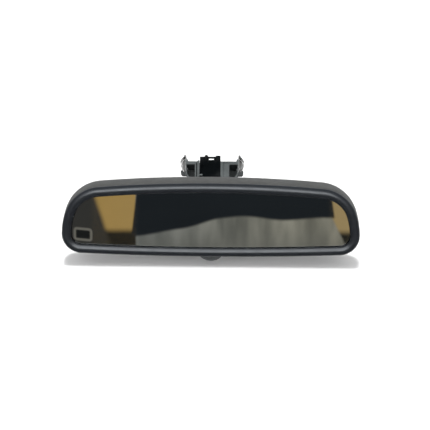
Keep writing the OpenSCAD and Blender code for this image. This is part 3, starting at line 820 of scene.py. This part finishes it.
floor = stage_plane("floor", 0, 0, FLOOR_Z - 0.0002, 14, 14)
fm = bpy.data.materials.new("floor_white")
fm.use_nodes = True
fb = fm.node_tree.nodes["Principled BSDF"]
fb.inputs["Base Color"].default_value = (0.90, 0.90, 0.90, 1)
fb.inputs["Roughness"].default_value = 0.9
fb.inputs["Specular IOR Level"].default_value = 0.1
floor.data.materials.append(fm)
floor.visible_transmission = False
floor.visible_glossy = False

# what the glass reflects: one wide board in front, with plain soft-edged panels
card = stage_plane("reflected_board", 0, -1.30, -0.2, 4.4, 3.0, (math.radians(90), 0, 0))
cm = bpy.data.materials.new("board_panels")
cm.use_nodes = True
ct = cm.node_tree
ct.nodes.clear()
c_out = ct.nodes.new("ShaderNodeOutputMaterial")
c_em = ct.nodes.new("ShaderNodeEmission")
ct.links.new(c_em.outputs[0], c_out.inputs[0])
c_co = ct.nodes.new("ShaderNodeTexCoord").outputs["Object"]
c_sep = ct.nodes.new("ShaderNodeSeparateXYZ")
ct.links.new(c_co, c_sep.inputs[0])
CX, CY = c_sep.outputs[0], c_sep.outputs[1]


def cmath(op, a, b=0.0):
    n = ct.nodes.new("ShaderNodeMath")
    n.operation = op
    for s, v in ((n.inputs[0], a), (n.inputs[1], b)):
        if isinstance(v, bpy.types.NodeSocket):
            ct.links.new(v, s)
        else:
            s.default_value = v
    return n.outputs[0]


def cstep(v, at, width):
    """0 below at, 1 above, over a soft width."""
    n = ct.nodes.new("ShaderNodeMapRange")
    n.interpolation_type = "SMOOTHSTEP"
    ct.links.new(v, n.inputs["Value"])
    n.inputs["From Min"].default_value = at - width / 2
    n.inputs["From Max"].default_value = at + width / 2
    return n.outputs["Result"]


def cmix(fac, a, b):
    n = ct.nodes.new("ShaderNodeMix")
    n.data_type = "RGBA"
    ct.links.new(fac, n.inputs[0])
    for s, v in ((n.inputs[6], a), (n.inputs[7], b)):
        if isinstance(v, bpy.types.NodeSocket):
            ct.links.new(v, s)
        else:
            s.default_value = (*v, 1)
    return n.outputs[2]


def at_x(f):
    """Board x where the glass shows it at fraction f of its width, from the left."""
    return -0.0166 + (f * 280 + 71 - 215) * 0.001955


def at_y(f):
    """Board height where the glass shows it at fraction f of its height, from the bottom."""
    return 0.065 - ((248 - f * 55) - 210) * 0.00198


def cnoise(scale, sx, sy, detail=3.0):
    mp = ct.nodes.new("ShaderNodeMapping")
    mp.inputs["Scale"].default_value = (sx, sy, 1)
    n = ct.nodes.new("ShaderNodeTexNoise")
    n.inputs["Scale"].default_value = scale
    n.inputs["Detail"].default_value = detail
    ct.links.new(c_co, mp.inputs[0])
    ct.links.new(mp.outputs[0], n.inputs["Vector"])
    return n.outputs["Fac"]


# slanted edges follow the height only as far as the glass shows it
CYC = cmath("MINIMUM", cmath("MAXIMUM", CY, at_y(-0.15)), at_y(1.15))
WOB = cmath("MULTIPLY", cmath("SUBTRACT", cnoise(3.0, 1, 1), 0.5), 0.02)
# ochre wall, a little brighter to the left and up
c_col = cmix(cstep(CX, 0.0, 1.2), (0.262, 0.164, 0.0435), (0.222, 0.170, 0.092))
# olive-brown skirting under it
c_col = cmix(cstep(CY, at_y(0.34), 0.016), (0.0058, 0.0064, 0.0054), c_col)
# dark brown panel at the far left
edge = cmath("ADD", cmath("ADD", CX, cmath("MULTIPLY", CYC, 0.30)), cmath("MULTIPLY", WOB, 0.8))
c_col = cmix(cstep(edge, at_x(0.110) + 0.30 * at_y(0.6), 0.014), cmix(cnoise(6.0, 1.4, 0.8, 2.0), (0.0105, 0.0108, 0.0096), (0.029, 0.028, 0.026)), c_col)
# a light frame round a dark opening, low in the dark panel
FX, FY = at_x(0.043), at_y(0.27)
fx = cmath("SUBTRACT", cmath("ABSOLUTE", cmath("SUBTRACT", CX, FX)), 0.0115)
fy = cmath("SUBTRACT", cmath("ABSOLUTE", cmath("SUBTRACT", CY, cmath("ADD", cmath("MULTIPLY", cmath("SUBTRACT", CX, FX), -0.10), FY))), 0.0060)
fx0, fy0 = cmath("MAXIMUM", fx, 0.0), cmath("MAXIMUM", fy, 0.0)
fd = cmath("SUBTRACT", cmath("ADD", cmath("SQRT", cmath("ADD", cmath("MULTIPLY", fx0, fx0), cmath("MULTIPLY", fy0, fy0))), cmath("MINIMUM", cmath("MAXIMUM", fx, fy), 0.0)), 0.0045)
ringed = cmath("SUBTRACT", 1.0, cstep(cmath("ABSOLUTE", fd), 0.0024, 0.0034))
opening = cmath("SUBTRACT", 1.0, cstep(fd, 0.0, 0.003))
c_col = cmix(opening, c_col, (0.0052, 0.0056, 0.0052))
c_col = cmix(ringed, c_col, (0.105, 0.100, 0.088))
# grey lower panel
folds = cmath("ADD", cmath("MULTIPLY", cnoise(5.0, 2.6, 0.45, 3.0), 0.6), cmath("MULTIPLY", cnoise(9.0, 3.0, 0.9, 2.0), 0.4))
soft = cstep(folds, 0.5, 0.34)
warm = cstep(CX, at_x(0.55), 0.5)
grey = cmix(soft, cmix(warm, (0.068, 0.073, 0.070), (0.075, 0.073, 0.060)), cmix(warm, (0.150, 0.155, 0.150), (0.235, 0.225, 0.185)))
lit = cmix(cstep(CY, at_y(0.12), 0.10), (0.085, 0.085, 0.078), grey)
in_mid = cmath("MULTIPLY", cstep(CX, at_x(0.232), 0.006), cmath("SUBTRACT", 1.0, cstep(cmath("ADD", CX, cmath("MULTIPLY", CYC, 0.5)), at_x(0.955) + 0.5 * at_y(0.35), 0.008)))
c_col = cmix(in_mid, c_col, lit)
# charcoal upper panel with a slanted, gently bowed lower edge
u = cmath("SUBTRACT", CX, at_x(0.225))
rise = 0.0
for at, width, lift in ((0.32, 0.22, 0.150), (0.47, 0.16, 0.180), (0.57, 0.08, 0.035), (0.69, 0.14, -0.065), (0.83, 0.16, 0.055)):
    # the glass is 280 units wide and 55 high on the board
    rise = cmath("ADD", cmath("MULTIPLY", cstep(CX, at_x(at), width * 280 * 0.001955), lift * 55 * 0.00198), rise)
low = cmath("ADD", cmath("SUBTRACT", CY, cmath("ADD", rise, at_y(0.235))), cmath("MULTIPLY", WOB, 0.25))
left_edge = cmath("SUBTRACT", CX, cmath("MULTIPLY", CYC, 0.12))
in_top = cmath("MULTIPLY", cstep(low, 0.0, 0.008), cmath("MULTIPLY", cstep(left_edge, at_x(0.222) - 0.12 * at_y(0.5), 0.005), cmath("SUBTRACT", 1.0, cstep(cmath("ADD", CX, cmath("MULTIPLY", CYC, 0.16)), at_x(0.935) + 0.16 * at_y(0.7), 0.006))))
char = cmix(cnoise(4.0, 0.5, 2.5, 2.0), (0.0040, 0.0055, 0.0070), (0.0085, 0.0110, 0.0130))
c_col = cmix(in_top, c_col, char)
ct.links.new(c_col, c_em.inputs[0])
c_em.inputs[1].default_value = 1.55
card.data.materials.append(cm)
card.visible_camera = False
card.visible_diffuse = False
card.visible_glossy = False
card.visible_shadow = False
card.visible_volume_scatter = False

world = bpy.data.worlds.new("studio")
bpy.context.scene.world = world
world.use_nodes = True
wt = world.node_tree
bg = wt.nodes["Background"]
bg.inputs[1].default_value = 1.0
lp = wt.nodes.new("ShaderNodeLightPath")
wc = wt.nodes.new("ShaderNodeTexCoord")
ws = wt.nodes.new("ShaderNodeSeparateXYZ")
wt.links.new(wc.outputs["Generated"], ws.inputs[0])
wr = wt.nodes.new("ShaderNodeMapRange")
wr.interpolation_type = "SMOOTHSTEP"
wt.links.new(ws.outputs[2], wr.inputs["Value"])
wr.inputs["From Min"].default_value = 0.25
wr.inputs["From Max"].default_value = 0.95
sky = wt.nodes.new("ShaderNodeMix")
sky.data_type = "RGBA"
wt.links.new(wr.outputs["Result"], sky.inputs[0])
sky.inputs[6].default_value = (0.085, 0.09, 0.10, 1)
sky.inputs[7].default_value = (0.20, 0.21, 0.24, 1)
pick = wt.nodes.new("ShaderNodeMix")
pick.data_type = "RGBA"
wt.links.new(lp.outputs["Is Glossy Ray"], pick.inputs[0])
pick.inputs[6].default_value = (0.71, 0.71, 0.71, 1)
# a bright backdrop behind the object, seen at grazing angles
wb = wt.nodes.new("ShaderNodeMapRange")
wb.interpolation_type = "SMOOTHSTEP"
wt.links.new(ws.outputs[1], wb.inputs["Value"])
wb.inputs["From Min"].default_value = 0.1
wb.inputs["From Max"].default_value = 0.8
back = wt.nodes.new("ShaderNodeMix")
back.data_type = "RGBA"
wl = wt.nodes.new("ShaderNodeMapRange")
wl.interpolation_type = "SMOOTHSTEP"
wt.links.new(ws.outputs[2], wl.inputs["Value"])
wl.inputs["From Min"].default_value = 0.65
wl.inputs["From Max"].default_value = 0.30
wm = wt.nodes.new("ShaderNodeMath")
wm.operation = "MULTIPLY"
wt.links.new(wb.outputs["Result"], wm.inputs[0])
wt.links.new(wl.outputs["Result"], wm.inputs[1])
wt.links.new(wm.outputs[0], back.inputs[0])
wt.links.new(sky.outputs[2], back.inputs[6])
back.inputs[7].default_value = (0.85, 0.87, 0.88, 1)
wt.links.new(back.outputs[2], pick.inputs[7])
wt.links.new(pick.outputs[2], bg.inputs[0])


def area(name, loc, target, size, power, color=(1, 1, 1)):
    d = bpy.data.lights.new(name, "AREA")
    d.shape = "RECTANGLE"
    d.size, d.size_y = size
    d.energy = power
    d.color = color
    o = bpy.data.objects.new(name, d)
    bpy.context.scene.collection.objects.link(o)
    o.location = loc
    o.rotation_euler = (Vector(target) - Vector(loc)).to_track_quat("-Z", "Y").to_euler()
    o.visible_transmission = False
    return o


# a softbox overhead: it lights the floor evenly and leaves a shade right under the head
sun_data = bpy.data.lights.new("overhead_softbox", "SUN")
sun_data.energy = 2.2
sun_data.angle = math.radians(11)
sun = bpy.data.objects.new("overhead_softbox", sun_data)
bpy.context.scene.collection.objects.link(sun)
sun.location = (0, -0.2, 1.5)
sun.rotation_euler = Vector((0.02, -0.02, -1.0)).to_track_quat("-Z", "Y").to_euler()
sun.visible_transmission = False
sun.visible_glossy = False
strip = area("strip_light", (-0.05, -0.08 - 1.5 * cos(math.radians(43)), -0.03 + 1.5 * sin(math.radians(43))), (0, -0.07, -0.03), (1.7, 0.95), 42, (0.93, 0.97, 1.0))
strip.visible_diffuse = False
fill = area("front_fill", (-0.1, -2.05, 0.75), (0, -0.07, -0.05), (1.8, 0.6), 22)
fill.visible_glossy = False

bpy.context.scene.view_settings.view_transform = "Standard"
